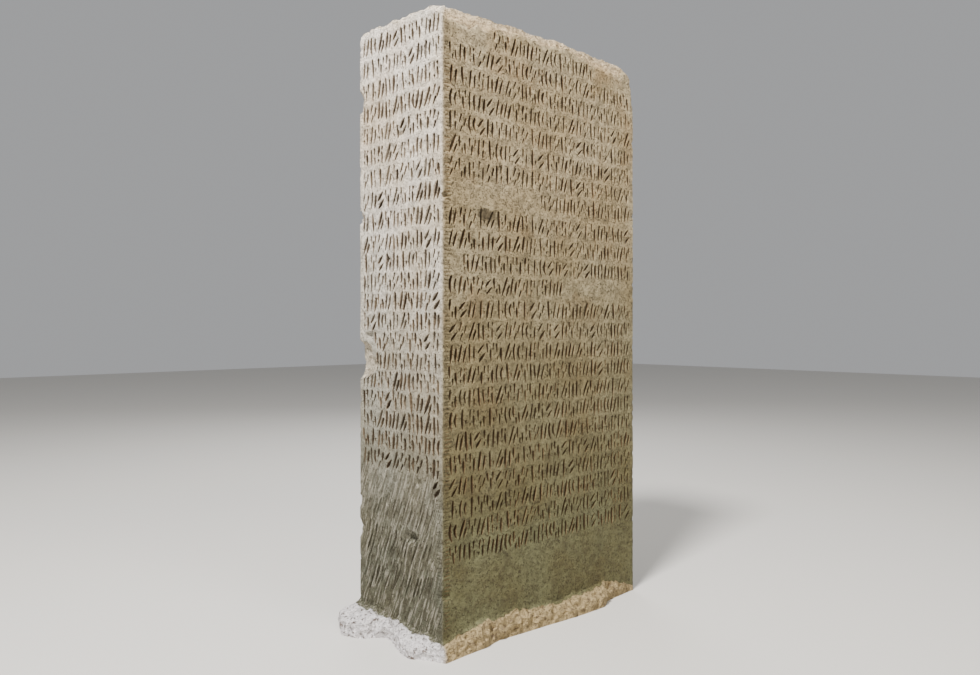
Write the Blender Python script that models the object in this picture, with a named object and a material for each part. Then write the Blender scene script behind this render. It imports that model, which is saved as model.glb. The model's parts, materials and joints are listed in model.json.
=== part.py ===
"""Inscribed stone stele: one upright slab with a rough foot, its front and left faces cut with rows of strokes.

Metres, +Z up. The origin is the middle of the slab's footprint at ground level.
The front face looks along -Y and the left face along -X. Both are measured from the arris that they share.
"""

import math
import random

import bmesh
import bpy
from mathutils import Matrix, Vector

# The slab
WIDTH = 0.540
DEPTH = 0.245
HEIGHT = 1.129
TOP_RISE = 0.004  # the top climbs this much towards the back left corner

# Corners go counter-clockwise seen from above, and each side runs from its own corner to the next
CORNERS = {"front": (-1, -1), "right": (1, -1), "back": (1, 1), "left": (-1, 1)}

# The rough foot, left where the dressing stopped.
# At each corner: flare along X, flare along Y, and the height where the foot meets the faces
FOOT_CORNERS = {
    "front": (0.010, 0.020, 0.026),
    "right": (0.001, 0.001, 0.010),
    "back": (0.014, 0.016, 0.036),
    "left": (0.038, 0.014, 0.047),
}
# Along each side: share of its length from its first corner, flare, and height
FOOT_SIDES = {
    "front": ((0.08, 0.017, 0.038), (0.16, 0.016, 0.047), (0.24, 0.007, 0.046), (0.35, 0.013, 0.045),
              (0.45, 0.017, 0.039), (0.56, 0.023, 0.034), (0.65, 0.026, 0.035), (0.76, 0.027, 0.038),
              (0.82, 0.008, 0.048), (0.93, 0.002, 0.026)),
    "right": ((0.20, 0.007, 0.020), (0.47, 0.018, 0.034), (0.73, 0.012, 0.040)),
    "back": ((0.11, 0.023, 0.044), (0.25, 0.030, 0.036), (0.37, 0.018, 0.046), (0.50, 0.027, 0.042),
             (0.64, 0.014, 0.034), (0.76, 0.026, 0.045), (0.89, 0.022, 0.040)),
    "left": ((0.13, 0.064, 0.041), (0.29, 0.050, 0.043), (0.39, 0.016, 0.038), (0.47, 0.013, 0.041),
             (0.61, 0.028, 0.034), (0.71, 0.038, 0.031), (0.84, 0.043, 0.033), (0.93, 0.027, 0.028)),
}
LIP_FLARE = 0.88  # of the flare at the ground
LIP_HEIGHT = 0.5  # of the foot's height

# The worn top edge.
# At each corner: how far the break reaches down the edge, how far in, and how far the top itself is worn down
TOP_CORNERS = {
    "front": (0.026, 0.006, 0.006),
    "right": (0.020, 0.010, 0.004),
    "back": (0.016, 0.008, 0.003),
    "left": (0.009, 0.004, 0.004),
}
# Along each side: share of its length from its first corner, how far the break reaches down the face, and in
TOP_SIDES = {
    "front": ((0.06, 0.034, 0.018), (0.16, 0.037, 0.016), (0.26, 0.026, 0.011), (0.35, 0.017, 0.009),
              (0.46, 0.023, 0.013), (0.57, 0.016, 0.009), (0.69, 0.021, 0.012), (0.80, 0.033, 0.017),
              (0.91, 0.036, 0.018)),
    "right": ((0.29, 0.014, 0.010), (0.65, 0.009, 0.006)),
    "back": ((0.15, 0.010, 0.009), (0.31, 0.016, 0.012), (0.48, 0.008, 0.006), (0.65, 0.014, 0.010),
             (0.83, 0.009, 0.007)),
    "left": ((0.20, 0.005, 0.004), (0.45, 0.008, 0.005), (0.69, 0.005, 0.004), (0.88, 0.009, 0.006)),
}

# The broken top right corner: two facets, each by its run along the top and its drop down the edge
CORNER_FACETS = ((0.0356, 0.0684), (0.0130, 0.1190))
FACET_TILT = 6.0  # degrees: the facets cut deeper at the front

# The rows of strokes
STROKE_WIDTH = 0.0052
STROKE_DEPTH = 0.0030
STROKE_HEIGHT = 0.030
STROKE_LEAN = 12.0  # degrees either side of upright
TICK_LENGTH = 0.011
TICK_GAP = 0.0085  # between the middles of a stem and its tick
TICK_SHARE = 0.22  # share of the marks that have a tick beside their stem
STEM_SHIFT = 0.16  # share of the pitch by which a stem makes room for its tick
ROW_MARGIN = 0.010  # bare stone between a row's end and the arris
CUTTER_REACH = 0.0005  # how far a cutter stands out of the face

FRONT_FIRST_ROW = 1.088  # height of the first row's middle above ground
FRONT_PITCH = 0.0225
FRONT_BLOCKS = (
    {"rows": 8, "pitch": 0.0402, "gap": 0.0},
    {"rows": 4, "pitch": 0.0395, "gap": 0.0455},
    {"rows": 12, "pitch": 0.0387, "gap": 0.0430},
)
FRONT_SHORT_ROWS = {0: (0.10, 0.97), 7: (0.45, 1.0), 11: (0.0, 0.58)}  # the share of the width that each fills

LEFT_FIRST_ROW = 1.096
LEFT_PITCH = 0.0245
LEFT_BLOCKS = (
    {"rows": 10, "pitch": 0.0413, "gap": 0.0},
    {"rows": 12, "pitch": 0.0364, "gap": 0.0364},
)
LEFT_SHORT_ROWS = {21: (0.0, 0.10)}

# Slanting streaks of the point, on the undressed lower part of the left face
STREAK_ROWS = (0.232, 0.163, 0.094)  # heights of their middles
STREAK_PITCH = 0.0175
STREAK_LENGTH = 0.062
STREAK_LEAN = 26.0  # degrees, the top towards the arris
STREAK_WIDTH = 0.0050
STREAK_DEPTH = 0.0016

# Flake scars on the back left edge: height above ground, then the reach across the left face, in, and up
LEFT_EDGE_SCARS = (
    (0.998, 0.016, 0.008, 0.021),
    (0.778, 0.013, 0.005, 0.012),
    (0.505, 0.054, 0.013, 0.036),
    (0.184, 0.018, 0.005, 0.012),
)
# Chips on the front left arris: height above ground, then the reach across the front, in, and up
ARRIS_CHIPS = ((0.794, 0.010, 0.004, 0.006), (0.107, 0.019, 0.006, 0.010))
# Pits in the left face: distance from the arris, height above ground, width, depth, height
LEFT_PITS = ((0.084, 0.192, 0.026, 0.009, 0.023), (0.124, 0.919, 0.026, 0.005, 0.008))
TOP_NOTCH = (0.172, 0.008, 0.006)  # in the left top edge: distance from the arris, reach, depth
SCAR_ROUGHNESS = 0.16

STONE_COLOUR = (0.56, 0.49, 0.38, 1.0)
STONE_ROUGHNESS = 0.92

FACES = {
    "front": {"corner": Vector((-WIDTH / 2, -DEPTH / 2, 0)), "along": Vector((1, 0, 0)), "out": Vector((0, -1, 0))},
    "left": {"corner": Vector((-WIDTH / 2, -DEPTH / 2, 0)), "along": Vector((0, 1, 0)), "out": Vector((-1, 0, 0))},
}
UP = Vector((0, 0, 1))


def clear_scene():
    for obj in list(bpy.data.objects):
        bpy.data.objects.remove(obj)


def stone_material():
    material = bpy.data.materials.new("weathered_stone")
    material.use_nodes = True
    shader = material.node_tree.nodes["Principled BSDF"]
    shader.inputs["Base Color"].default_value = STONE_COLOUR
    shader.inputs["Roughness"].default_value = STONE_ROUGHNESS
    shader.inputs["Metallic"].default_value = 0.0
    return material


def new_object(name, bm):
    """An object made from the bmesh, which is freed."""
    bmesh.ops.recalc_face_normals(bm, faces=bm.faces)
    mesh = bpy.data.meshes.new(name)
    bm.to_mesh(mesh)
    bm.free()
    obj = bpy.data.objects.new(name, mesh)
    bpy.context.scene.collection.objects.link(obj)
    return obj


def outline(sides, corners):
    """Points round the slab from the front left arris: place, outward direction and sizes, corners first."""
    names = list(CORNERS)
    points = []
    for name, following in zip(names, names[1:] + names[:1]):
        start = Vector((CORNERS[name][0] * WIDTH / 2, CORNERS[name][1] * DEPTH / 2))
        end = Vector((CORNERS[following][0] * WIDTH / 2, CORNERS[following][1] * DEPTH / 2))
        run = (end - start).normalized()
        points.append({"place": start, "out": Vector(CORNERS[name]), "sizes": corners[name], "corner": True})
        for share, *sizes in sides[name]:
            place = start.lerp(end, share)
            points.append({"place": place, "out": Vector((run.y, -run.x)), "sizes": sizes, "corner": False})
    return points


def top_height(place):
    """The height of the top at a point of the plan, climbing to the back left corner."""
    share = (0.5 - place.x / WIDTH) * (0.5 + place.y / DEPTH)
    return HEIGHT + TOP_RISE * share


def foot_rings(bm):
    """Three rings of points: on the ground, at the foot's lip, and where the foot meets the faces."""
    rings = [[], [], []]
    for point in outline(FOOT_SIDES, FOOT_CORNERS):
        *flares, height = point["sizes"]
        flare = Vector((point["out"].x * flares[0], point["out"].y * flares[-1]))
        rings[0].append(bm.verts.new((*(point["place"] + flare), 0)))
        rings[1].append(bm.verts.new((*(point["place"] + flare * LIP_FLARE), height * LIP_HEIGHT)))
        rings[2].append(bm.verts.new((*point["place"], height)))
    return rings


def top_rings(bm):
    """Two rings of points: where the break meets the faces, and where it meets the top."""
    rings = [[], []]
    for point in outline(TOP_SIDES, TOP_CORNERS):
        drop, inset = point["sizes"][:2]
        sunk = point["sizes"][2] if point["corner"] else 0
        inner = point["place"] - point["out"] * inset
        rings[0].append(bm.verts.new((*point["place"], top_height(point["place"]) - drop)))
        rings[1].append(bm.verts.new((*inner, top_height(inner) - sunk)))
    return rings


def corner_spans(sides):
    """First and last index of each side in a ring of its points."""
    spans = []
    start = 0
    for name in CORNERS:
        end = start + len(sides[name]) + 1
        spans.append((start, end))
        start = end
    return spans


def body_mesh():
    """The slab: its foot, four flat faces, and the worn top."""
    bm = bmesh.new()
    ground, lip, foot = foot_rings(bm)
    edge, top = top_rings(bm)
    for lower, upper in ((ground, lip), (lip, foot), (edge, top)):
        bridge(bm, lower, upper)
    for low, high in zip(corner_spans(FOOT_SIDES), corner_spans(TOP_SIDES)):
        bm.faces.new(loop_of(foot, *low) + loop_of(edge, *high)[::-1])
    bm.faces.new(ground[::-1])
    middle = bm.verts.new((0, 0, top_height(Vector((0, 0)))))
    for i in range(len(top)):
        bm.faces.new((top[i], top[(i + 1) % len(top)], middle))
    return bm


def bridge(bm, lower, upper):
    """Triangles between two rings with as many points."""
    count = len(lower)
    for i in range(count):
        j = (i + 1) % count
        bm.faces.new((lower[i], lower[j], upper[j]))
        bm.faces.new((lower[i], upper[j], upper[i]))


def loop_of(ring, start, end):
    return [ring[i % len(ring)] for i in range(start, end + 1)]


def on_face(face, along, up, out=0.0):
    """A point of a face, from the distance along it, the height, and how far it stands out."""
    frame = FACES[face]
    return frame["corner"] + frame["along"] * along + UP * up + frame["out"] * out


def add_stroke(bm, face, start, end, width=STROKE_WIDTH, depth=STROKE_DEPTH):
    """A tapering chisel stroke from its broad end to its tip, as a four-sided cutter that stands out of the face."""
    run = Vector(end) - Vector(start)
    side = Vector((-run.y, run.x)).normalized() * width / 2
    broad = Vector(start)
    deepest = broad + run * 0.25
    apex = on_face(face, deepest.x, deepest.y, -depth)
    reach = 1 + CUTTER_REACH / depth
    corners = [on_face(face, *point) for point in (broad + side, broad - side, Vector(end))]
    base = [bm.verts.new(apex + (corner - apex) * reach) for corner in corners]
    tip = bm.verts.new(apex)
    bm.faces.new(base)
    for i in range(3):
        bm.faces.new((base[i], tip, base[(i + 1) % 3]))


def row_heights(first, blocks):
    """The height of the middle of each row above ground, from the top row down."""
    heights = []
    for block in blocks:
        height = heights[-1] - block["gap"] if heights else first
        heights += [height - k * block["pitch"] for k in range(block["rows"])]
    return heights


def face_top(face, along):
    """The height to which a face is whole, below the worn edge and the broken corner."""
    share = along / WIDTH if face == "front" else 1 - along / DEPTH
    limit = HEIGHT - min(TOP_SIDES[face], key=lambda size: abs(size[0] - share))[1]
    if face == "front":
        for run, drop in CORNER_FACETS:
            limit = min(limit, HEIGHT - drop * (1 - (WIDTH - along) / run))
    return limit


def carve_rows(bm, face, span, pitch, first, blocks, short_rows):
    """Strokes in rows across a face. Each mark is an upright with, now and then, a tick that doesn't touch it."""
    rng = random.Random(5)
    usable = span - 2 * ROW_MARGIN
    for row, height in enumerate(row_heights(first, blocks)):
        start, end = short_rows.get(row, (0.0, 1.0))
        count = max(1, round(usable * (end - start) / pitch))
        for k in range(count):
            tick = rng.random() < TICK_SHARE
            along = ROW_MARGIN + usable * start + usable * (end - start) * (k + 0.5) / count
            along += -STEM_SHIFT * pitch if tick else rng.uniform(-0.1, 0.1) * pitch
            half = STROKE_HEIGHT * rng.uniform(0.36, 0.5)
            slope = math.tan(math.radians(rng.uniform(-1, 1) * STROKE_LEAN * (0.4 if tick else 1.0)))
            ends = [(along + slope * half, height + half), (along - slope * half, height - half)]
            if rng.random() < 0.3:
                ends.reverse()
            rise = rng.uniform(-0.3, 0.3) * STROKE_HEIGHT
            if height + half > face_top(face, along):
                continue
            add_stroke(bm, face, *ends)
            near = along + TICK_GAP
            far = near + TICK_LENGTH * 0.4
            if tick and ROW_MARGIN < far < span - ROW_MARGIN:
                add_stroke(bm, face, (near, height + rise), (far, height + rise - TICK_LENGTH * 0.9))


def carve_streaks(bm):
    """Long shallow streaks side by side, low on the left face."""
    rng = random.Random(17)
    slope = math.tan(math.radians(STREAK_LEAN))
    for row, height in enumerate(STREAK_ROWS):
        along = STREAK_PITCH * (1.6 + 0.5 * (row % 2))
        while along < DEPTH - 2 * STREAK_PITCH:
            half = STREAK_LENGTH * rng.uniform(0.3, 0.5)
            middle = height + rng.uniform(-0.03, 0.03) * STREAK_LENGTH
            ends = [(along - slope * half, middle + half), (along + slope * half, middle - half)]
            add_stroke(bm, "left", *ends, STREAK_WIDTH, STREAK_DEPTH)
            along += STREAK_PITCH * rng.uniform(0.8, 1.2)


def stroke_cutters():
    bm = bmesh.new()
    carve_rows(bm, "front", WIDTH, FRONT_PITCH, FRONT_FIRST_ROW, FRONT_BLOCKS, FRONT_SHORT_ROWS)
    carve_rows(bm, "left", DEPTH, LEFT_PITCH, LEFT_FIRST_ROW, LEFT_BLOCKS, LEFT_SHORT_ROWS)
    carve_streaks(bm)
    return cutter("stroke_cutters", bm)


def cutter(name, bm):
    obj = new_object(name, bm)
    obj.hide_render = True
    obj.display_type = "WIRE"
    return obj


def add_scar(bm, centre, reach, rng):
    """A rough lump, a little faceted, that cuts a flake scar where it meets the stone."""
    made = bmesh.ops.create_icosphere(bm, subdivisions=1, radius=1.0)["verts"]
    for vert in made:
        rough = rng.uniform(1 - SCAR_ROUGHNESS, 1 + SCAR_ROUGHNESS)
        vert.co = Vector((vert.co[i] * reach[i] for i in range(3))) * rough + centre


def scar_cutters():
    """Flakes off the vertical edges, pits in the left face and the notch in its top edge."""
    rng = random.Random(23)
    bm = bmesh.new()
    for height, across, depth, up in LEFT_EDGE_SCARS:
        add_scar(bm, on_face("left", DEPTH, height), (depth, across, up), rng)
    for height, across, depth, up in ARRIS_CHIPS:
        add_scar(bm, on_face("front", 0, height), (across, depth, up), rng)
    for along, height, width, depth, up in LEFT_PITS:
        add_scar(bm, on_face("left", along, height), (depth, width / 2, up / 2), rng)
    along, reach, depth = TOP_NOTCH
    top = top_height(Vector((-WIDTH / 2, along - DEPTH / 2)))
    add_scar(bm, on_face("left", along, top), (reach * 2, reach, depth), rng)
    return cutter("scar_cutters", bm)


def corner_cutter(name, run, drop):
    """A block whose lower left face lies on one facet of the broken top right corner."""
    size = WIDTH
    bm = bmesh.new()
    bmesh.ops.create_cube(bm, size=size)
    bmesh.ops.translate(bm, verts=bm.verts, vec=(0, 0, size / 2))
    turn = Matrix.Rotation(math.atan2(drop, run), 4, "Y") @ Matrix.Rotation(math.radians(FACET_TILT), 4, "X")
    place = Matrix.Translation((WIDTH / 2 - run / 2, -DEPTH / 2, HEIGHT - drop / 2))
    bmesh.ops.transform(bm, matrix=place @ turn, verts=bm.verts)
    return cutter(name, bm)


def cut(obj, tool):
    modifier = obj.modifiers.new(tool.name, "BOOLEAN")
    modifier.operation = "DIFFERENCE"
    modifier.solver = "EXACT"
    modifier.object = tool


def build():
    clear_scene()
    stele = new_object("stele", body_mesh())
    stele.data.materials.append(stone_material())
    for i, (run, drop) in enumerate(CORNER_FACETS):
        cut(stele, corner_cutter(f"corner_cutter_{i}", run, drop))
    cut(stele, scar_cutters())
    cut(stele, stroke_cutters())


build()
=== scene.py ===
import json
import math
import random

import bpy
import numpy as np
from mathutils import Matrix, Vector
from mathutils.geometry import delaunay_2d_cdt
from mathutils.kdtree import KDTree

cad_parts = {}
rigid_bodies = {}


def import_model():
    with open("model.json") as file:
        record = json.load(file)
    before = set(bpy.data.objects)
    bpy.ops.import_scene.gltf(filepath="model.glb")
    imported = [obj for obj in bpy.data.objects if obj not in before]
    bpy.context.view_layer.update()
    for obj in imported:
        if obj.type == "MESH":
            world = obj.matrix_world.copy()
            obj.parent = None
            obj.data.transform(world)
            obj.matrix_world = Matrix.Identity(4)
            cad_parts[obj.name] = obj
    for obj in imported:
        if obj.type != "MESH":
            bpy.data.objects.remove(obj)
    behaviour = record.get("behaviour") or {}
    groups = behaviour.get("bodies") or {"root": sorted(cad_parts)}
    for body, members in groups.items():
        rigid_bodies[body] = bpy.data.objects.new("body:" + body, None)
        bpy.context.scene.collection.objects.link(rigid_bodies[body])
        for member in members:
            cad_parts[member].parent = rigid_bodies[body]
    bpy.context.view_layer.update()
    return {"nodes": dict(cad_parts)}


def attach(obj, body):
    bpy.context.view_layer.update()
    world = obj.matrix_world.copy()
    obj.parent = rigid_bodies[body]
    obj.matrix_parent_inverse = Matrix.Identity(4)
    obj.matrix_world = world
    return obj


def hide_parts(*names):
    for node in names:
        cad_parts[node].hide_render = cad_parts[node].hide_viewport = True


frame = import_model()
print("frame loaded", list(frame["nodes"]))


class Wire:
    # one socket of a node tree, so that maths on it reads as maths
    def __init__(self, tree, socket):
        self.tree = tree
        self.socket = socket

    def __getitem__(self, name):
        return Wire(self.tree, findSocket(self.socket.node.outputs, name))

    @staticmethod
    def node(tree, kind, settings, inputs):
        # any node: its settings first, then the values or links of its sockets;
        # gives its first output
        made = tree.nodes.new(kind)
        for name, value in settings.items():
            setattr(made, name, value)
        for key, value in inputs.items():
            socket = findSocket(made.inputs, key)
            if isinstance(value, Wire):
                tree.links.new(value.socket, socket)
            else:
                socket.default_value = value
        return Wire(tree, made.outputs[0]) if made.outputs else made

    def maths(self, operation, *values):
        inputs = dict(enumerate(values))
        return Wire.node(self.tree, "ShaderNodeMath", {"operation": operation}, inputs)

    def __add__(self, other):
        return self.maths("ADD", self, other)

    def __radd__(self, other):
        return self.maths("ADD", other, self)

    def __sub__(self, other):
        return self.maths("SUBTRACT", self, other)

    def __rsub__(self, other):
        return self.maths("SUBTRACT", other, self)

    def __mul__(self, other):
        return self.maths("MULTIPLY", self, other)

    def __rmul__(self, other):
        return self.maths("MULTIPLY", other, self)

    def atLeast(self, other):
        return self.maths("MAXIMUM", self, other)

    def atMost(self, other):
        return self.maths("MINIMUM", self, other)

    def between(self, low, high):
        # 0 below low, 1 above high, smooth in between
        return Wire.node(self.tree, "ShaderNodeMapRange", {"interpolation_type": "SMOOTHSTEP"},
                         {"Value": self, "From Min": low, "From Max": high})


def findSocket(sockets, key):
    # by number, identifier or name
    if isinstance(key, int):
        return sockets[key]
    for socket in sockets:
        if socket.identifier == key:
            return socket
    return sockets[key]


def newGeometryTree(name, inputs):
    # a geometry tree with a Geometry input and output, and these named inputs
    tree = bpy.data.node_groups.new(name, "GeometryNodeTree")
    for way in ("OUTPUT", "INPUT"):
        tree.interface.new_socket("Geometry", in_out=way, socket_type="NodeSocketGeometry")
    for inputName, kind in inputs.items():
        tree.interface.new_socket(inputName, in_out="INPUT", socket_type="NodeSocket" + kind)
    start = tree.nodes.new("NodeGroupInput")
    return tree, {socket.name: Wire(tree, socket) for socket in start.outputs if socket.name}


def bakeTree(obj, tree, values):
    # runs the tree on the object and gives the result as a plain mesh
    modifier = obj.modifiers.new(tree.name, "NODES")
    modifier.node_group = tree
    for item in tree.interface.items_tree:
        if item.in_out == "INPUT" and item.name in values:
            modifier[item.identifier] = values[item.name]
    bpy.context.view_layer.update()
    evaluated = obj.evaluated_get(bpy.context.evaluated_depsgraph_get())
    result = bpy.data.meshes.new_from_object(evaluated)
    obj.modifiers.remove(modifier)
    return result


def addObject(name, data, collection=None):
    obj = bpy.data.objects.new(name, data)
    (collection or bpy.context.scene.collection).objects.link(obj)
    return obj


stone = {
    "width": 0.540,
    "depth": 0.245,
    "height": 1.129,
    "rise": 0.004,  # the top climbs this much towards the back left corner
    "arrisStep": 0.0040,  # mesh size along the arrises
    "rowStep": 0.0044,  # on the carved faces
    "streakStep": 0.0036,  # on the tooled part of the left face
    "footStep": 0.0040,
    "plainStep": 0.0070,  # on the faces that are not carved
    "topStep": 0.0060,
    "undersideStep": 0.030,
    "footBand": 0.062,  # the foot's mesh size holds up to this height
    "streakBand": 0.30,  # and the tooled part's up to this one
    "topBand": 0.05,  # the plain faces are finer again this far down from the top
}
width, depth, height = stone["width"], stone["depth"], stone["height"]

# counter-clockwise seen from above, each from its own corner to the next
sides = {
    "front": {"corner": (-1, -1), "along": (1, 0), "out": (0, -1), "length": width},
    "right": {"corner": (1, -1), "along": (0, 1), "out": (1, 0), "length": depth},
    "back": {"corner": (1, 1), "along": (-1, 0), "out": (0, 1), "length": width},
    "left": {"corner": (-1, 1), "along": (0, -1), "out": (-1, 0), "length": depth},
}
girth = 2 * (width + depth)
sideStart = dict(zip(sides, (0, width, width + depth, 2 * width + depth)))

# corners: flare along x, flare along y, height; sides: share of the length, flare, height
foot = {
    "corners": {"front": (0.010, 0.020, 0.026), "right": (0.001, 0.001, 0.010),
                "back": (0.014, 0.016, 0.036), "left": (0.038, 0.014, 0.047)},
    "front": ((0.08, 0.017, 0.038), (0.16, 0.016, 0.047), (0.24, 0.007, 0.046),
              (0.35, 0.013, 0.045), (0.45, 0.017, 0.039), (0.56, 0.023, 0.034),
              (0.65, 0.026, 0.035), (0.76, 0.027, 0.038), (0.82, 0.008, 0.048),
              (0.93, 0.002, 0.026)),
    "right": ((0.20, 0.007, 0.020), (0.47, 0.018, 0.034), (0.73, 0.012, 0.040)),
    "back": ((0.11, 0.023, 0.044), (0.25, 0.030, 0.036), (0.37, 0.018, 0.046),
             (0.50, 0.027, 0.042), (0.64, 0.014, 0.034), (0.76, 0.026, 0.045),
             (0.89, 0.022, 0.040)),
    "left": ((0.13, 0.064, 0.041), (0.29, 0.050, 0.043), (0.39, 0.016, 0.038),
             (0.47, 0.013, 0.041), (0.61, 0.028, 0.034), (0.71, 0.038, 0.031),
             (0.84, 0.043, 0.033), (0.93, 0.027, 0.028)),
}
# from the foot's top downwards: share of its height, share of its flare
footProfile = ((0.0, 0.0), (0.22, 0.42), (0.5, 0.88), (1.0, 1.0))

# corners: in along x, in along y, reach down, how far the top sinks;
# sides: share of the length, in, reach down
topEdge = {
    "corners": {"front": (0.010, 0.009, 0.026, 0.015), "right": (0.010, 0.010, 0.020, 0.004),
                "back": (0.008, 0.008, 0.016, 0.003), "left": (0.004, 0.004, 0.009, 0.004)},
    "front": ((0.06, 0.018, 0.034), (0.16, 0.016, 0.037), (0.26, 0.011, 0.026),
              (0.35, 0.009, 0.017), (0.46, 0.013, 0.023), (0.57, 0.009, 0.016),
              (0.69, 0.012, 0.021), (0.80, 0.017, 0.033), (0.91, 0.018, 0.036)),
    "right": ((0.29, 0.010, 0.014), (0.65, 0.006, 0.009)),
    "back": ((0.15, 0.009, 0.010), (0.31, 0.012, 0.016), (0.48, 0.006, 0.008),
             (0.65, 0.010, 0.014), (0.83, 0.007, 0.009)),
    "left": ((0.20, 0.004, 0.005), (0.45, 0.005, 0.008), (0.69, 0.004, 0.005),
             (0.88, 0.006, 0.009)),
}

# the broken top right corner: height, how far in it is broken there
cornerBreak = {
    "profile": ((0.995, 0.0), (1.041, 0.002), (1.074, 0.007), (1.094, 0.014),
                (1.109, 0.025), (1.122, 0.033), (1.135, 0.036)),
    "reach": 0.13,  # the face draws in over this width
    "atBack": 0.2,  # share of the break that is left at the back
}

# chips and pits: side, distance from the front left arris, height,
# reach in, across and up, way in, how pale inside
scars = (
    ("left", 0.245, 0.998, (0.008, 0.016, 0.021), (1, -1, 0), 1.0),
    ("left", 0.245, 0.778, (0.005, 0.013, 0.012), (1, -1, 0), 1.0),
    ("left", 0.245, 0.522, (0.011, 0.040, 0.020), (1, -0.6, 0), 1.0),
    ("left", 0.245, 0.497, (0.013, 0.054, 0.026), (1, -0.6, 0), 1.0),
    ("left", 0.245, 0.184, (0.003, 0.020, 0.017), (1, -1, 0), 0.3),
    ("left", 0.245, 0.236, (0.0025, 0.014, 0.012), (1, -1, 0), 0.3),
    ("left", 0.084, 0.192, (0.009, 0.013, 0.012), (1, 0, 0), 0.25),
    ("left", 0.066, 0.292, (0.004, 0.007, 0.008), (1, 0, 0), 0.0),
    ("left", 0.124, 0.919, (0.005, 0.013, 0.004), (1, 0, 0), 0.0),
    ("left", 0.158, 0.694, (0.005, 0.007, 0.007), (1, 0, 0), 0.0),
    ("left", 0.214, 0.553, (0.006, 0.012, 0.007), (1, 0, 0), 0.0),
    ("left", 0.172, 1.130, (0.016, 0.010, 0.007), (0, 0, -1), 1.0),
    ("front", 0.0, 0.794, (0.004, 0.010, 0.006), (1, 1, 0), 0.0),
    ("front", 0.0, 0.107, (0.006, 0.019, 0.010), (0.4, 1, 0), 0.0),
)

# each mark is a few separate strokes, in millimetres from the middle of its place;
# none of them touch
rowMarks = {
    "pair": [[(-5.5, 14), (-5.5, -15)], [(5, 10), (5.5, -13)]],
    "steps": [[(-7, 0), (4, 12)], [(-3, -14), (8, -2)]],
    "rain": [[(-3, 14), (-7, 2)], [(8, 8), (4, -4)], [(-1, -6), (-5, -15)]],
    "split": [[(-5.5, 13), (-5.5, -15)], [(5, 14), (4.5, 4)], [(5.5, -4), (5, -14)]],
    "leaning": [[(-8, -13), (-3, 14)], [(2, -14), (8, 11)]],
    "slight": [[(-2, 14), (-6, -14)], [(8, 8), (5, -13)]],
    "broken": [[(-5, 15), (-5, 3)], [(5, 6), (5, -15)], [(-5, -8), (-5, -11)]],
    "ripple": [[(-4, 14), (-6.5, 5), (-6.5, -5), (-4, -14)],
               [(7, 10), (4.5, 4), (4.5, -4), (7, -10)]],
    "three": [[(-7, 14), (-6, 2)], [(1, 3), (1, -14)], [(8, 14), (7, 4)]],
    "slope": [[(5, 15), (-7, -14)], [(9, 1), (3, -14)]],
    "comb": [[(-7, 14), (-7, -2)], [(6, 2), (7, -14)], [(-1, -7), (-1, -14)]],
    "drops": [[(-4, 14), (-5, 0)], [(-5, -9), (-5, -11)], [(4, 3), (5, -14)], [(5, 13), (5, 11)]],
    "stem": [[(-1, 15), (0, -15)], [(8, -3), (8, -6)]],
}
streakMarks = {
    "long": [[(11, 30), (5, 8), (-13, -28)]],
    "short": [[(7, 18), (-8, -18)]],
}
tickMarks = {
    "tick": [[(-6, 0), (6, 0.3)]],
    "shortTick": [[(-4, -0.2), (5, 0)]],
}

# short: the share of the width that a row fills, where it isn't all of it
frontRows = {
    "side": "front", "first": 1.088, "pitch": 0.0220, "margin": 0.012, "seed": 5,
    "blocks": ({"rows": 8, "pitch": 0.0402, "gap": 0.0},
               {"rows": 4, "pitch": 0.0395, "gap": 0.0455},
               {"rows": 12, "pitch": 0.0387, "gap": 0.0430}),
    "short": {0: (0.08, 0.97), 7: (0.45, 1.0), 10: (0.06, 1.0), 11: (0.0, 0.58),
              18: (0.03, 1.0)},
}
leftRows = {
    "side": "left", "first": 1.096, "pitch": 0.0240, "margin": 0.008, "seed": 8,
    "blocks": ({"rows": 10, "pitch": 0.0413, "gap": 0.0},
               {"rows": 12, "pitch": 0.0364, "gap": 0.0364}),
    "short": {14: (0.0, 0.84), 15: (0.0, 0.82), 21: (0.0, 0.10)},
}
# the slanting tool marks below the left face's rows
tooling = {
    "rows": (0.236, 0.172, 0.108),  # heights of their middles
    "first": 0.036,  # from the front left arris, and every second row a little further
    "stagger": 0.004,
    "margin": 0.022,  # bare at the far arris
    "pitch": (0.0085, 0.0125),
    "wander": 0.006,  # up or down
    "top": 0.325,  # the fine lines between them end here
    "fade": 0.030,  # and gain strength over this much
    "lean": -21,  # degrees, of the fine lines
}
# the small cuts up both sides of the front left arris: distance from it, from and to which height
ticks = {
    "front": (0.0105, 0.05, 1.07),
    "left": (0.0112, 0.05, 0.27),
    "pitch": (0.0055, 0.0080),
    "wander": 0.001,  # sideways
}
# lean in degrees and size spread either way; step is the distance between a stroke's points
# how dark each cut's strokes are coloured: their dirt together with painted shade in them
cuts = {
    "frontRow": {"width": 0.0069, "depth": 0.0044, "dirtAndShade": 1.0, "step": 0.0068,
                 "lean": 5, "spread": 0.08},
    "leftRow": {"width": 0.0085, "depth": 0.0058, "dirtAndShade": 1.0, "step": 0.0068,
                "lean": 5, "spread": 0.08},
    "streak": {"width": 0.0052, "depth": 0.0028, "dirtAndShade": 0.26, "step": 0.0080,
               "lean": 3, "spread": 0.10},
    "tick": {"width": 0.0034, "depth": 0.0013, "dirtAndShade": 0.22, "step": 0.0065,
             "lean": 4, "spread": 0.05},
}
# shares of a cut's width and depth
stroke = {
    "widths": (0.8, 1.2),  # from one stroke to the next
    "depths": (0.75, 1.15),
    "head": 0.75,  # width at its first point
    "tail": 0.55,  # and at its last one
    "headTip": 0.9,  # how far it runs on past them, in half widths
    "tailTip": 1.3,
}


def rowHeights(rows):
    heights = []
    for block in rows["blocks"]:
        first = heights[-1] - block["gap"] if heights else rows["first"]
        heights += [first - k * block["pitch"] for k in range(block["rows"])]
    return heights


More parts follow.
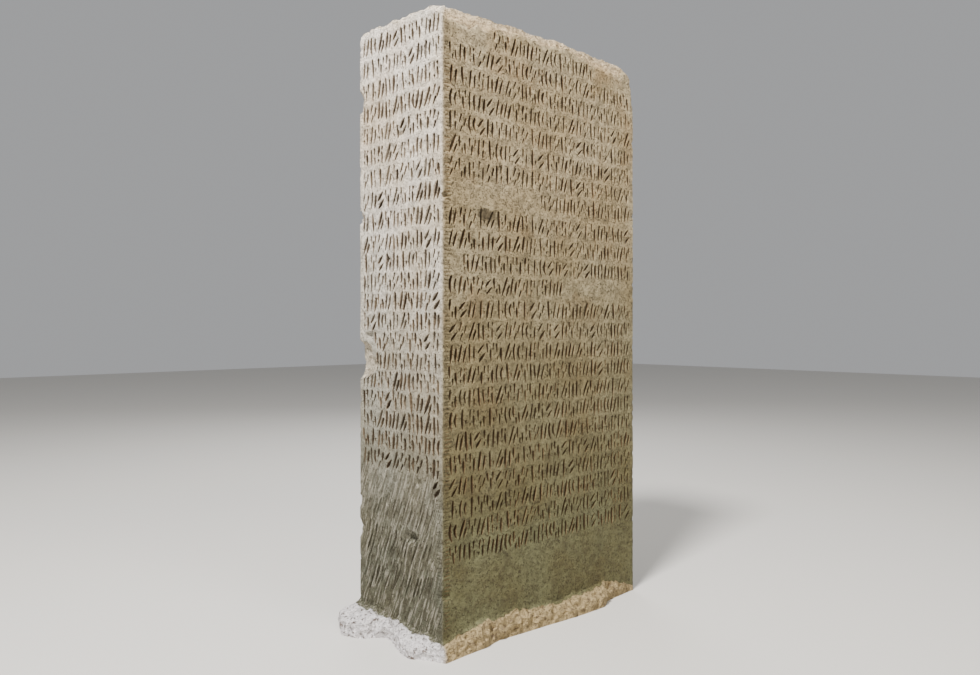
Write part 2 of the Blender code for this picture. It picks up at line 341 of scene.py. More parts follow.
def fromLeftEnd(sideName, along):
    # distances are given from the front left arris; the left side's sheet runs towards it
    return sides[sideName]["length"] - along if sideName == "left" else along


def rowPlaces(rows):
    halfMark = 0.016  # a mark reaches this far up
    wander = 0.0012  # and stands this much too high or low
    rng = random.Random(rows["seed"])
    names = sorted(rowMarks)
    length = sides[rows["side"]]["length"]
    usable = length - 2 * rows["margin"]
    places = []
    before = None
    for row, middle in enumerate(rowHeights(rows)):
        start, end = rows["short"].get(row, (0.0, 1.0))
        count = max(1, round(usable * (end - start) / rows["pitch"]))
        for k in range(count):
            along = rows["margin"] + usable * (start + (end - start) * (k + 0.5) / count)
            mark = rng.choice([name for name in names if name != before])
            before = mark
            if middle + halfMark < wholeTo(rows["side"], along):
                places.append((fromLeftEnd(rows["side"], along),
                               middle + rng.uniform(-wander, wander), names.index(mark)))
    return places


def wholeTo(sideName, along):
    # the height to which a side is whole, below its worn top edge
    overlap = 0.006  # marks may reach this far into the worn edge
    room = 0.012  # and keep this far from the broken corner
    share = fromLeftEnd(sideName, along) / sides[sideName]["length"]
    nearest = min(topEdge[sideName], key=lambda sizes: abs(sizes[0] - share))
    limit = height - nearest[2] + overlap
    if sideName == "front":
        inward = width - along - room
        for level, run in cornerBreak["profile"]:
            if run > inward:
                limit = min(limit, level)
    return limit


def streakPlaces():
    rng = random.Random(4)
    names = sorted(streakMarks)
    wander = tooling["wander"]
    places = []
    for row, middle in enumerate(tooling["rows"]):
        along = tooling["first"] + tooling["stagger"] * (row % 2)
        while along < depth - tooling["margin"]:
            mark = rng.choice(names)
            places.append((fromLeftEnd("left", along), middle + rng.uniform(-wander, wander),
                           names.index(mark)))
            along += rng.uniform(*tooling["pitch"])
    return places


def tickPlaces(sideName):
    rng = random.Random(9)
    wander = ticks["wander"]
    along, level, top = ticks[sideName]
    places = []
    while level < top:
        places.append((fromLeftEnd(sideName, along + rng.uniform(-wander, wander)), level,
                       rng.randrange(len(tickMarks))))
        level += rng.uniform(*ticks["pitch"])
    return places


def makeStrokeTree():
    # sets a mark on each point, leans it a little, and gives lines with a point every step
    tree, given = newGeometryTree("strokesOnPoints", {
        "Marks": "Collection", "Lean": "Float", "Size Spread": "Float", "Step": "Float",
        "Seed": "Int", "Material": "Material"})

    def chance(low, high, seed):
        return Wire.node(tree, "FunctionNodeRandomValue", {"data_type": "FLOAT"},
                         {"Min_001": low, "Max_001": high, "Seed": seed})["Value_001"]

    marks = Wire.node(tree, "GeometryNodeCollectionInfo", {},
                      {"Collection": given["Marks"], "Separate Children": True,
                       "Reset Children": True})
    index = Wire.node(tree, "GeometryNodeInputNamedAttribute", {"data_type": "INT"},
                      {"Name": "mark"})["Attribute"]
    lean = chance(given["Lean"] * -1.0, given["Lean"], given["Seed"])
    size = chance(1.0 - given["Size Spread"], 1.0 + given["Size Spread"], given["Seed"] + 1.0)
    turn = Wire.node(tree, "ShaderNodeCombineXYZ", {}, {"Z": lean})
    placed = Wire.node(tree, "GeometryNodeInstanceOnPoints", {},
                       {"Points": given["Geometry"], "Instance": marks, "Pick Instance": True,
                        "Instance Index": index, "Rotation": turn, "Scale": size})
    real = Wire.node(tree, "GeometryNodeRealizeInstances", {}, {"Geometry": placed})
    lines = Wire.node(tree, "GeometryNodeMeshToCurve", {}, {"Mesh": real})
    even = Wire.node(tree, "GeometryNodeResampleCurve", {"mode": "LENGTH"},
                     {"Curve": lines, "Length": given["Step"]})
    wires = Wire.node(tree, "GeometryNodeCurveToMesh", {}, {"Curve": even})
    done = Wire.node(tree, "GeometryNodeSetMaterial", {},
                     {"Geometry": wires, "Material": given["Material"]})
    Wire.node(tree, "NodeGroupOutput", {}, {"Geometry": done})
    return tree


def markCollection(name, marks):
    collection = bpy.data.collections.new(name)
    for markName in sorted(marks):
        points = []
        edges = []
        for line in marks[markName]:
            first = len(points)
            points += [(x / 1000, y / 1000, 0) for x, y in line]
            edges += [(first + k, first + k + 1) for k in range(len(line) - 1)]
        mesh = bpy.data.meshes.new(markName)
        mesh.from_pydata(points, edges, [])
        addObject(name + "_" + markName, mesh, collection)
    return collection


def strokeLines(tree, places, marks, kind, material):
    # the strokes of these places, each an array of points on the unrolled side
    cut = cuts[kind]
    cloud = bpy.data.meshes.new("places")
    cloud.from_pydata([(x, y, 0) for x, y, mark in places], [], [])
    numbers = cloud.attributes.new("mark", "INT", "POINT")
    numbers.data.foreach_set("value", [mark for x, y, mark in places])
    holder = addObject("places", cloud)
    library = markCollection(kind, marks)
    wires = bakeTree(holder, tree, {
        "Marks": library, "Lean": math.radians(cut["lean"]), "Size Spread": cut["spread"],
        "Step": cut["step"], "Seed": 3, "Material": material})
    points = np.empty(len(wires.vertices) * 3)
    wires.vertices.foreach_get("co", points)
    points = points.reshape(-1, 3)[:, :2]
    joined = {min(edge.vertices) for edge in wires.edges}
    starts = [k for k in range(1, len(points)) if k - 1 not in joined]
    bpy.data.objects.remove(holder)
    for obj in list(library.objects):
        bpy.data.objects.remove(obj)
    bpy.data.collections.remove(library)
    return [{"points": line, "cut": cut} for line in np.split(points, starts)]


def grooveParts(line, rng):
    # points and edges of one stroke, its middle line between two banks that meet at its tips,
    # and its sizes
    points, cut = line["points"], line["cut"]
    half = cut["width"] / 2 * rng.uniform(*stroke["widths"])
    deep = cut["depth"] * rng.uniform(*stroke["depths"])
    along = np.gradient(points, axis=0)
    along /= np.linalg.norm(along, axis=1)[:, None]
    across = np.stack((-along[:, 1], along[:, 0]), axis=1)
    count = len(points)
    share = np.ones(count)
    share[0] = stroke["head"]
    share[-1] = stroke["tail"]
    left = points + across * half * share[:, None]
    right = points - across * half * share[:, None]
    tips = [points[0] - along[0] * half * stroke["headTip"],
            points[-1] + along[-1] * half * stroke["tailTip"]]
    spots = list(points) + list(left) + list(right) + tips
    starts = (0, count, 2 * count)
    edges = [(start + k, start + k + 1) for start in starts for k in range(count - 1)]
    edges += [(3 * count, start) for start in starts]
    edges += [(start + count - 1, 3 * count + 1) for start in starts]
    groove = {"path": np.vstack((tips[0], points, tips[1])), "share": np.array((0, *share, 0)),
              "half": half, "deep": deep, "dirtAndShade": cut["dirtAndShade"]}
    return spots, edges, groove


def cutInto(spots, groove):
    # how deep one stroke is at these points, a V across its path, and how much dirt and painted
    # shade lies there
    half, share = groove["half"], groove["share"]
    depths = np.zeros(len(spots))
    dirtsAndShades = np.zeros(len(spots))
    for start, end, full, after in zip(groove["path"], groove["path"][1:], share, share[1:]):
        way = end - start
        along = np.clip((spots - start) @ way / (way @ way), 0, 1)
        away = np.linalg.norm(spots - start - along[:, None] * way, axis=1)
        fullness = full + (after - full) * along
        inside = np.clip(1 - away / np.maximum(half * fullness, 1e-6), 0, 1)
        depths = np.maximum(depths, groove["deep"] * fullness * inside)
        dirtsAndShades = np.maximum(dirtsAndShades, groove["dirtAndShade"] * inside * np.minimum(fullness * 2, 1))
    return depths, dirtsAndShades


def hexPoints(left, right, low, high, step, rng):
    # an even, slightly uneven spread of points inside a rectangle
    rowShare = 0.866  # of the step, between the rows of an even net of triangles
    uneven = 0.12  # of the step, either way
    rows = max(1, round((high - low) / (step * rowShare)))
    columns = max(1, round((right - left) / step))
    points = []
    for row in range(rows):
        y = low + (row + 0.5) * (high - low) / rows
        shift = 0.25 if row % 2 else 0.75
        for column in range(columns):
            x = left + (column + shift) * (right - left) / columns
            points.append((x + rng.uniform(-uneven, uneven) * step,
                           y + rng.uniform(-uneven, uneven) * step))
    return np.array(points)


def zonesOf(name):
    # low edge, high edge and mesh size of each band of a side
    low, middle, high = stone["footBand"], stone["streakBand"], height - stone["topBand"]
    zones = {
        "front": ((low, height, stone["rowStep"]),),
        "left": ((low, middle, stone["streakStep"]), (middle, height, stone["rowStep"])),
    }
    plain = (low, high, stone["plainStep"]), (high, height, stone["arrisStep"])
    return (0, low, stone["footStep"]), *zones.get(name, plain)


def nearTree(points):
    tree = KDTree(len(points))
    for k, spot in enumerate(points):
        tree.insert((spot[0], spot[1], 0), k)
    tree.balance()
    return tree


def clearOf(tree, spot, room):
    # whether every point of the tree is further from this spot
    return tree.find((spot[0], spot[1], 0))[2] > room


def sideSheet(name, lines):
    # the unrolled side as points, triangles, and the depth of the strokes and their dirt with
    # painted shade at each point
    edgeRoom = 0.0008  # a stroke stays this far inside the side
    rng = random.Random(len(name))  # the same each run
    length = sides[name]["length"]
    levels = np.linspace(0, height, round(height / stone["arrisStep"]) + 1)
    across = np.linspace(0, length, round(length / stone["arrisStep"]) + 1)
    border = [(x, 0) for x in across] + [(length, z) for z in levels[1:]]
    border += [(x, height) for x in across[-2::-1]] + [(0, z) for z in levels[-2:0:-1]]
    points = [np.array(spot) for spot in border]
    edges = [(k, (k + 1) % len(border)) for k in range(len(border))]
    grooves = []
    for line in lines:
        spots, links, groove = grooveParts(line, rng)
        edges += [(len(points) + a, len(points) + b) for a, b in links]
        points += list(np.clip(spots, edgeRoom, (length - edgeRoom, height - edgeRoom)))
        grooves.append(groove)
    tree = nearTree(points)
    for low, high, step in zonesOf(name):
        spread = hexPoints(0, length, low, high, step, rng)
        # none so near the strokes that a sliver would lie between
        points += [spot for spot in spread if clearOf(tree, spot, 0.62 * step)]
    flat = delaunay_2d_cdt([Vector(spot) for spot in points], edges, [], 0, 1e-6, False)
    found = np.array([tuple(spot) for spot in flat[0]])
    depths = np.zeros(len(found))
    dirtsAndShades = np.zeros(len(found))
    tree = nearTree(found)
    for groove in grooves:
        middle = groove["path"].mean(axis=0)
        reach = np.linalg.norm(groove["path"] - middle, axis=1).max() + groove["half"]
        near = [index for place, index, away in tree.find_range((*middle, 0), reach)]
        deep, dirtAndShade = cutInto(found[near], groove)
        depths[near] = np.maximum(depths[near], deep)
        dirtsAndShades[near] = np.maximum(dirtsAndShades[near], dirtAndShade)
    far = np.array((length, height)) - edgeRoom / 2
    inside = ((found > edgeRoom / 2) & (found < far)).all(axis=1)
    return found, np.array(flat[2]), depths * inside, dirtsAndShades * inside


def wrapSides(sheets):
    # stands the four sheets round the slab and joins them along the arrises
    places, outs, grooves, dirtsAndShades, faces, turns = [], [], [], [], [], []
    total = 0
    for name, (flat, triangles, deep, dirtAndShade) in sheets.items():
        side = sides[name]
        corner = np.array(side["corner"]) * (width / 2, depth / 2)
        plan = corner + flat[:, :1] * np.array(side["along"])
        places.append(np.column_stack((plan, flat[:, 1])))
        outs.append(np.tile((*side["out"], 0.0), (len(flat), 1)))
        turns.append(sideStart[name] + flat[:, 0])
        grooves.append(deep)
        dirtsAndShades.append(dirtAndShade)
        faces.append(triangles + total)
        total += len(flat)
    places = np.vstack(places)
    rounded = np.round(places, 6) + 0.0  # so that -0 is 0
    first, same = np.unique(rounded, axis=0, return_index=True, return_inverse=True)[1:]
    same = same.reshape(-1)
    out = np.zeros((len(first), 3))
    np.add.at(out, same, np.vstack(outs))
    size = np.linalg.norm(out, axis=1)
    return {
        "rest": places[first],
        "out": out / size[:, None],
        "arris": size < np.bincount(same) - 0.1,  # where different ways out were joined
        "turn": np.concatenate(turns)[first] % girth,
        "groove": np.concatenate(grooves)[first],
        "dirtAndShade": np.concatenate(dirtsAndShades)[first],
        "faces": wholeFaces(same[np.vstack(faces)]),
    }


def wholeFaces(faces):
    # without triangles that shrank to a line when points were joined
    first, second, third = faces.T
    return faces[(first != second) & (second != third) & (third != first)]


def ringValues(table, turn):
    # the table's sizes at each place round the slab: x part, y part, height, and what only
    # corners have
    stations = []
    for name, side in sides.items():
        x, y, reach, *more = table["corners"][name]
        stations.append((sideStart[name], side["corner"][0] * x, side["corner"][1] * y,
                         reach, *more))
        for share, size, reach in table[name]:
            stations.append((sideStart[name] + share * side["length"], side["out"][0] * size,
                             side["out"][1] * size, reach, *(0 for _ in more)))
    stations.append((girth, *stations[0][1:]))
    turns, *columns = np.array(stations).T
    return [np.interp(turn, turns, column) for column in columns]


def ease(value):
    value = np.clip(value, 0, 1)
    return value * value * (3 - 2 * value)


def topLevel(x, y):
    return height + stone["rise"] * (0.5 - x / width) * (0.5 + y / depth)


def shapeSlab(sheet):
    # flares the foot, breaks the top edge and the corner, and scoops out the chips
    riseOver = 0.12  # the top's slope dies out this far down
    x, y, z = sheet["rest"].T
    turn = sheet["turn"]

    # the foot: down is 0 at its ragged top and 1 on the ground
    flareX, flareY, footTop = ringValues(foot, turn)
    ragged = 1 + 0.07 * np.sin(turn * 61) * np.sin(turn * 23 + 1)
    ragged += 0.06 * np.sin(turn * 170) * np.sin(turn * 97)
    ragged += 0.05 * np.sin(turn * 313) * np.sin(turn * 127)
    down = np.clip(1 - z / (footTop * ragged), 0, 1)
    flare = np.interp(down, *zip(*footProfile))

    # the top edge: up is 0 where its wear begins and 1 on the top
    inX, inY, reach, sunk = ringValues(topEdge, turn)
    uneven = 1 + 0.20 * np.sin(turn * 90) * np.sin(turn * 37 + 2) + 0.10 * np.sin(turn * 211)
    reach = reach * uneven
    up = np.clip((z - (height - reach)) / reach, 0, 1)
    x = x + flareX * flare - inX * up
    y = y + flareY * flare - inY * up
    z = z + (topLevel(x, y) - height) * ease((z - height + riseOver) / riseOver) - sunk * up

    # the broken corner
    run = np.interp(z, *zip(*cornerBreak["profile"]))
    drawn = ease((x - width / 2 + cornerBreak["reach"]) / cornerBreak["reach"])
    kept = np.interp(y, (-depth / 2, depth / 2), (1, cornerBreak["atBack"]))
    place = np.column_stack((x - run * drawn * kept, y, z))
    onRight = ease((drawn - 0.75) / 0.2) * (sheet["out"][:, 0] > 0.5)
    broken = np.maximum(ease(up * 2.2), ease(run / 0.016) * onRight)
    for scar in scars:
        broken = np.maximum(broken, scoop(place, scar))

    # the ways out lean up on the worn edge and on the flare
    above = sheet["rest"][:, 2]
    lean = 0.9 * up * (reach > 0.003) + 0.5 * (down > 0) * np.clip(above / 0.02, 0, 1)
    out = sheet["out"] + lean[:, None] * np.array((0, 0, 1))
    sheet["out"] = out / np.linalg.norm(out, axis=1)[:, None]
    sheet["place"] = place
    sheet["fresh"] = ease(down / 0.26)
    sheet["broken"] = broken


def scoop(place, scar):
    # pushes what is inside an ellipsoid out to its far side, along one way, and marks it
    sideName, fromArris, level, (inward, across, upward), way, pale = scar
    side = sides[sideName]
    along, out = np.array(side["along"]), np.array(side["out"])
    corner = np.array(side["corner"]) * (width / 2, depth / 2)
    plan = corner + along * fromLeftEnd(sideName, fromArris)
    reach = np.array((*(np.abs(out) * inward + np.abs(along) * across), upward))
    start = (place - np.array((*plan, level))) / reach
    way = np.array(way) / np.linalg.norm(way)
    step = way / reach
    a = step @ step
    b = start @ step
    c = (start * start).sum(axis=1) - 1
    inside = c < 0
    push = np.where(inside, (-b + np.sqrt(np.maximum(b * b - a * c, 0))) / a, 0)
    place += push[:, None] * way
    return np.where(inside, ease(push / 0.003), 0) * pale


def capFill(loop, step, rng):
    # triangles across a closed loop of points in plan: the loop's own numbers first,
    # then new points
    (left, low), (right, high) = loop.min(axis=0), loop.max(axis=0)
    inner = hexPoints(left, right, low, high, step, rng)
    tree = nearTree(loop)
    inner = [spot for spot in inner if clearOf(tree, spot, 0.6 * step) and insideLoop(loop, spot)]
    points = [Vector(spot) for spot in loop] + [Vector(spot) for spot in inner]
    edges = [(k, (k + 1) % len(loop)) for k in range(len(loop))]
    flat = delaunay_2d_cdt(points, edges, [], 0, 1e-7, True)
    origin = [min(ids) for ids in flat[3]]
    edgesOf = [[frozenset((origin[a], origin[b])) for a, b in zip(face, (*face[1:], face[0]))]
               for face in flat[2]]
    beside = {}
    for k, around in enumerate(edgesOf):
        for edge in around:
            beside.setdefault(edge, []).append(k)
    wall = {frozenset(edge) for edge in edges}
    kept = set()
    waiting = [k for k, face in enumerate(flat[2])
               if any(origin[spot] >= len(loop) for spot in face)]
    while waiting:  # outwards from the new points, as far as the loop
        k = waiting.pop()
        if k not in kept:
            kept.add(k)
            waiting += [other for edge in edgesOf[k] if edge not in wall
                        for other in beside[edge]]
    found = np.array([tuple(spot) for spot in flat[0]])
    return found, np.array([flat[2][k] for k in sorted(kept)]), origin


def insideLoop(loop, spot):
    after = np.roll(loop, -1, axis=0)
    crosses = (loop[:, 1] > spot[1]) != (after[:, 1] > spot[1])
    rise = np.where(after[:, 1] == loop[:, 1], 1e-12, after[:, 1] - loop[:, 1])
    at = loop[:, 0] + (spot[1] - loop[:, 1]) / rise * (after[:, 0] - loop[:, 0])
    return bool(np.count_nonzero(crosses & (spot[0] < at)) % 2)


def closeCaps(sheet):
    # adds the top and the flat underside, each inside the loop where the sides end
    topBroken = 0.45  # how worn the top is
    rng = random.Random(2)
    for level, step, facing in ((height, stone["topStep"], 1), (0.0, stone["undersideStep"], -1)):
        onTop = facing > 0
        ring = np.flatnonzero(np.abs(sheet["rest"][:, 2] - level) < 1e-6)
        ring = ring[np.argsort(sheet["turn"][ring])]
        found, triangles, origin = capFill(sheet["place"][ring][:, :2], step, rng)
        number = []
        new = []
        for k, source in enumerate(origin):
            if source < len(ring):
                number.append(ring[source])
            else:
                number.append(len(sheet["place"]) + len(new))
                new.append(found[k])
        new = np.array(new)
        levels = topLevel(new[:, 0], new[:, 1]) if onTop else np.zeros(len(new))
        added = {
            "place": np.column_stack((new, levels)),
            "rest": np.column_stack((new, np.full(len(new), level))),
            "out": np.tile((0.0, 0.0, float(facing)), (len(new), 1)),
            "broken": np.full(len(new), topBroken if onTop else 0.0),
            "fresh": np.full(len(new), 0.0 if onTop else 1.0),
        }
        for key in ("groove", "dirtAndShade", "turn", "arris"):
            added[key] = np.zeros(len(new))
        for key, values in added.items():
            sheet[key] = np.concatenate((sheet[key], values))
        triangles = wholeFaces(np.array(number)[triangles])
        sheet["faces"] = np.vstack((sheet["faces"], triangles if onTop else triangles[:, ::-1]))


def sheetMesh(sheet):
    # the slab as a mesh that carries what the surface tree and the material read
    mesh = bpy.data.meshes.new("slab")
    mesh.from_pydata(sheet["place"].tolist(), [], sheet["faces"].tolist(), shade_flat=False)
    out = sheet["out"]
    x, y, z = sheet["rest"].T
    old = 1 - sheet["fresh"]
    farArris = (x < 0) & (y > 0)  # the left face's far arris is more worn
    onLeft = out[:, 0] < -0.8
    level = np.maximum(np.linalg.norm(out[:, :2], axis=1), 1e-6)
    # the flare keeps its side's colours
    facing = out[:, :2] / np.where(z < 0.3, level, 1)[:, None]
    values = {
        "groove": sheet["groove"] * (1 - 0.85 * sheet["broken"]),
        "dirtAndShade": sheet["dirtAndShade"] * (1 - 0.7 * sheet["broken"]),
        "broken": sheet["broken"],
        "fresh": sheet["fresh"],
        "edge": sheet["arris"] * old * (1 + 0.9 * farArris),
        "tooled": ease((tooling["top"] - z) / tooling["fade"]) * onLeft * old,
        "low": np.clip(z / 0.012, 0, 1),  # nothing stirs on the underside
        "front": np.clip(-facing[:, 1], 0, 1),
        "left": np.clip(-facing[:, 0], 0, 1),
        # the plain sides' mesh is too coarse for grain
        "grainy": np.clip(np.maximum(-out[:, 0], -out[:, 1]), 0, 1),
    }
    for name, numbers in values.items():
        attribute = mesh.attributes.new(name, "FLOAT", "POINT")
        attribute.data.foreach_set("value", np.ascontiguousarray(numbers, dtype=np.float32))
    mesh.attributes.new("out", "FLOAT_VECTOR", "POINT").data.foreach_set(
        "vector", np.ascontiguousarray(out, dtype=np.float32).ravel())
    return mesh


# how far weathering, breaks and strokes go in or out, in metres; Stroke Depth is a share
surface = {
    "Face Wear": 0.0014,
    "Grain": 0.0006,
    "Break Wear": 0.0065,
    "Foot Wear": 0.0150,
    "Edge Wear": 0.0090,
    "Edge Round": 0.0004,
    "Stroke Depth": 1.0,
    "Tool Wear": 0.0026,
}


def leanAndStretch(tree, place, share):
    # coordinates in which a pattern lies along the tool marks, drawn out by 1 / share
    leant = Wire.node(tree, "ShaderNodeVectorRotate", {"rotation_type": "X_AXIS"},
                      {"Vector": place, "Angle": math.radians(tooling["lean"])})
    return Wire.node(tree, "ShaderNodeVectorMath", {"operation": "MULTIPLY"},
                     {0: leant, 1: (1, 1, share)})


def makeSurfaceTree():
    # moves each point along its outward way: strokes in, breaks and weathering in and out
    inputs = {**{name: "Float" for name in surface}, "Material": "Material"}
    tree, given = newGeometryTree("stoneSurface", inputs)
    place = Wire.node(tree, "GeometryNodeInputPosition", {}, {})

    def stored(name, kind="FLOAT"):
        return Wire.node(tree, "GeometryNodeInputNamedAttribute", {"data_type": kind},
                         {"Name": name})["Attribute"]

    def noise(scale, detail, shift=0.0, rough=0.5, at=place):
        moved = Wire.node(tree, "ShaderNodeVectorMath", {"operation": "ADD"},
                          {0: at, 1: (shift, shift * 0.7, shift * 0.3)})
        made = Wire.node(tree, "ShaderNodeTexNoise", {},
                         {"Vector": moved, "Scale": scale, "Detail": detail, "Roughness": rough})
        return (made - 0.5) * 2.0

    def facets(scale):
        made = Wire.node(tree, "ShaderNodeTexVoronoi", {"feature": "F1"},
                         {"Vector": place, "Scale": scale})
        return made - 0.5

    broken, fresh, edge = stored("broken"), stored("fresh"), stored("edge")
    wear = (noise(13.0, 2.0) + noise(42.0, 2.0, 3.0) * 0.5) * given["Face Wear"]
    wear = wear + noise(150.0, 1.0, 5.0) * given["Grain"] * stored("grainy")
    breaks = (noise(34.0, 5.0, 7.0, 0.6) + facets(48.0) * 0.8) * broken * given["Break Wear"]
    crumbs = (noise(30.0, 6.0, 11.0, 0.62) + facets(60.0) * 0.9) * fresh * given["Foot Wear"]
    nicks = (noise(55.0, 3.0, 13.0) - 0.12).atLeast(0.0) * given["Edge Wear"]
    nicks = (nicks + given["Edge Round"]) * edge
    stretched = leanAndStretch(tree, place, 0.14)
    tooled = noise(120.0, 1.0, 17.0, 0.5, stretched) * stored("tooled") * given["Tool Wear"]
    uneven = 1.0 + noise(45.0, 1.0, 19.0) * 0.35
    cut = stored("groove") * given["Stroke Depth"] * uneven
    move = (wear + breaks + crumbs + tooled - nicks - cut) * stored("low")
    shift = Wire.node(tree, "ShaderNodeVectorMath", {"operation": "SCALE"},
                      {0: stored("out", "FLOAT_VECTOR"), "Scale": move})
    worn = Wire.node(tree, "GeometryNodeSetPosition", {},
                     {"Geometry": given["Geometry"], "Offset": shift})
    real = Wire.node(tree, "GeometryNodeRealizeInstances", {}, {"Geometry": worn})
    done = Wire.node(tree, "GeometryNodeSetMaterial", {},
                     {"Geometry": real, "Material": given["Material"]})
    Wire.node(tree, "NodeGroupOutput", {}, {"Geometry": done})
    return tree


def tone(red, green, blue):
    # a colour from its screen values
    return (*((value / 255 / 12.92) if value <= 10 else ((value / 255 + 0.055) / 1.055) ** 2.4
              for value in (red, green, blue)), 1.0)


look = {
    "pale": tone(253, 243, 228),
    "tan": tone(235, 220, 197),
    "grey": tone(194, 187, 172),
    "ochre": tone(204, 166, 126),
    "olive": tone(195, 186, 160),  # what the front is toned with
    "lowerLeft": tone(117, 124, 115),  # what the patina near the ground is toned with, greenish as a painted reflection of grass
    # the same on the front, its green tint also a painted reflection of grass
    "lowerFront": tone(184, 194, 174),
    "lowGap": tone(255, 261, 266),  # and the bare stone below its rows
    # in the strokes on the front, their dirt with painted shade; this colour also darkens the
    # front along its left arris
    "groove": tone(62, 46, 28),
    # on the left face, the strokes' dirt with painted shade, and the same dirt with no shade
    # painted
    "grooveLeft": tone(62, 49, 33),
    "grooveTan": tone(100, 85, 65),
    "bank": tone(192, 148, 104),
    "pit": tone(66, 56, 40),
    "pore": tone(116, 98, 84),
    # painted highlight on the ridges between the tool marks
    "ridge": tone(196, 188, 170),
    "fresh": tone(238, 233, 232),
    "freshFront": tone(180, 158, 116),
    "break": tone(226, 212, 188),
    "breakFront": tone(208, 181, 140),
    "stain": tone(64, 54, 38),
    # heights and distances over which the colours change
    "darkening": (0.05, 0.95),  # from the ground up
    "lowGapEnd": (0.17, 0.24),
    "arrisShade": (0.004, 0.020),  # on the front, from its left arris
    "streakMargin": (0.009, 0.019),  # on the left face, from its near arris
    # the dark blotch on the front: left of the middle, height, 1 / half width, 1 / half height
    "blotch": (0.166, 0.771, 34.0, 80.0),
}


def makeStoneMaterial():
    material = bpy.data.materials.new("weatheredStone")
    material.use_nodes = True
    tree = material.node_tree
    shader = tree.nodes["Principled BSDF"]
    place = Wire.node(tree, "ShaderNodeTexCoord", {}, {})["Object"]

    def stored(name):
        return Wire.node(tree, "ShaderNodeAttribute", {"attribute_name": name}, {})["Fac"]

    def noise(scale, detail=2.0, rough=0.5, at=place):
        return Wire.node(tree, "ShaderNodeTexNoise", {},
                         {"Vector": at, "Scale": scale, "Detail": detail, "Roughness": rough})

    def mix(share, first, second, blend="MIX"):
        return Wire.node(tree, "ShaderNodeMix", {"data_type": "RGBA", "blend_type": blend},
                         {"Factor_Float": share, "A_Color": first,
                          "B_Color": second})["Result_Color"]

    def darken(share, colour, strength, shade):
        # part of the way to a shade, so that what lies under it still shows
        return mix(share, colour, mix(strength, colour, look[shade]))

    split = Wire.node(tree, "ShaderNodeSeparateXYZ", {}, {"Vector": place})
    x, y, z = split["X"], split["Y"], split["Z"]
    front, left, tooled, dirtAndShade = (stored(name) for name in ("front", "left", "tooled", "dirtAndShade"))
    broken = (stored("broken") + (noise(70.0, 3.0) - 0.5) * 0.6).between(0.25, 0.6)
    fresh = (stored("fresh") + (noise(75.0, 4.0, 0.6) - 0.5) * 1.3).between(0.32, 0.55)

    # the patina: warm and pale at the top, darker towards the ground, more so on the front, and
    # greenish near the ground as a painted reflection of grass
    colour = mix(noise(7.0, 4.0).between(0.35, 0.65), look["pale"], look["tan"])
    colour = mix(noise(23.0, 5.0, 0.62).between(0.5, 0.72) * 0.5, colour, look["grey"])
    ochre = noise(9.0, 5.0, 0.6).between(0.53, 0.70) * (left * 0.20 + front * 0.35)
    colour = mix(ochre, colour, look["ochre"])
    colour = mix(front, colour, look["olive"], "MULTIPLY")
    wavy = z + (noise(6.0, 3.0) - 0.5) * 0.25
    lowPatinaAndReflection = 1.0 - wavy.between(*look["darkening"])
    # the darker patina near the ground, tinted green as a painted reflection of grass
    colour = mix(lowPatinaAndReflection * (1.0 - front * 0.6), colour, look["lowerLeft"], "MULTIPLY")
    colour = mix(lowPatinaAndReflection * (front + 0.25).atMost(1.0), colour, look["lowerFront"], "MULTIPLY")
    lowGap = (1.0 - z.between(*look["lowGapEnd"])) * front
    colour = mix(lowGap, colour, look["lowGap"], "MULTIPLY")
    byArris = (1.0 - (x + width / 2).between(*look["arrisShade"])) * front
    colour = darken(byArris * 0.45, colour, 0.5, "groove")
    colour = mix(broken * 0.7, colour, mix(front, look["break"], look["breakFront"]))
    colour = mix(fresh, colour, mix(front, look["fresh"], look["freshFront"]))

    # mottling, dark pits, and the streaks of the tooled part, with painted shade in their hollows
    # and painted highlights on their ridges
    mottle = noise(110.0, 5.0, 0.7)
    mottled = mottle.between(0.40, 0.62) * (0.72 + front * 0.12 - fresh * 0.42)
    colour = darken(mottled, colour, 0.55, "pit")
    coarse = noise(38.0, 4.0, 0.6)
    colour = darken(coarse.between(0.45, 0.70) * (0.30 - fresh * 0.15), colour, 0.5, "pit")
    pits = 1.0 - noise(330.0, 2.0).between(0.33, 0.42)
    crumbly = fresh.atLeast(broken * 0.4)
    holes = (1.0 - noise(150.0, 3.0, 0.6).between(0.35, 0.42)) * crumbly
    margin = (y + depth / 2).between(*look["streakMargin"])
    inner = tooled * (margin * 0.6 + 0.4)  # fainter on the margin by the arris
    streaks = noise(215.0, 3.0, 0.55, leanAndStretch(tree, place, 0.12))
    # painted shade in the tool marks' hollows, then painted highlights on their ridges
    colour = darken((1.0 - streaks.between(0.36, 0.52)) * inner * 0.60, colour, 0.6, "pit")
    colour = mix(streaks.between(0.50, 0.62) * inner * 0.42, colour, look["ridge"])
    colour = mix(pits * (0.75 - fresh * 0.45), colour, look["pit"])
    specks = 1.0 - noise(175.0, 2.0).between(0.29, 0.35)
    colour = mix(specks * front * 0.55, colour, look["pit"])
    colour = mix(holes * (0.85 - front * 0.3), colour, look["pore"])

    # dirt with painted shade in the strokes, and a dark blotch on the front
    worn = noise(38.0, 3.0).between(0.25, 0.6) * 0.25 + 0.75
    leftStrokeDirtAndShade = mix(noise(22.0, 3.0).between(0.50, 0.68), look["grooveLeft"], look["grooveTan"])
    bank = dirtAndShade.between(0.0, 0.12) * noise(17.0, 3.0).between(0.40, 0.60) * (1.0 - tooled)
    colour = darken(bank * 0.45, colour, 0.5, "bank")
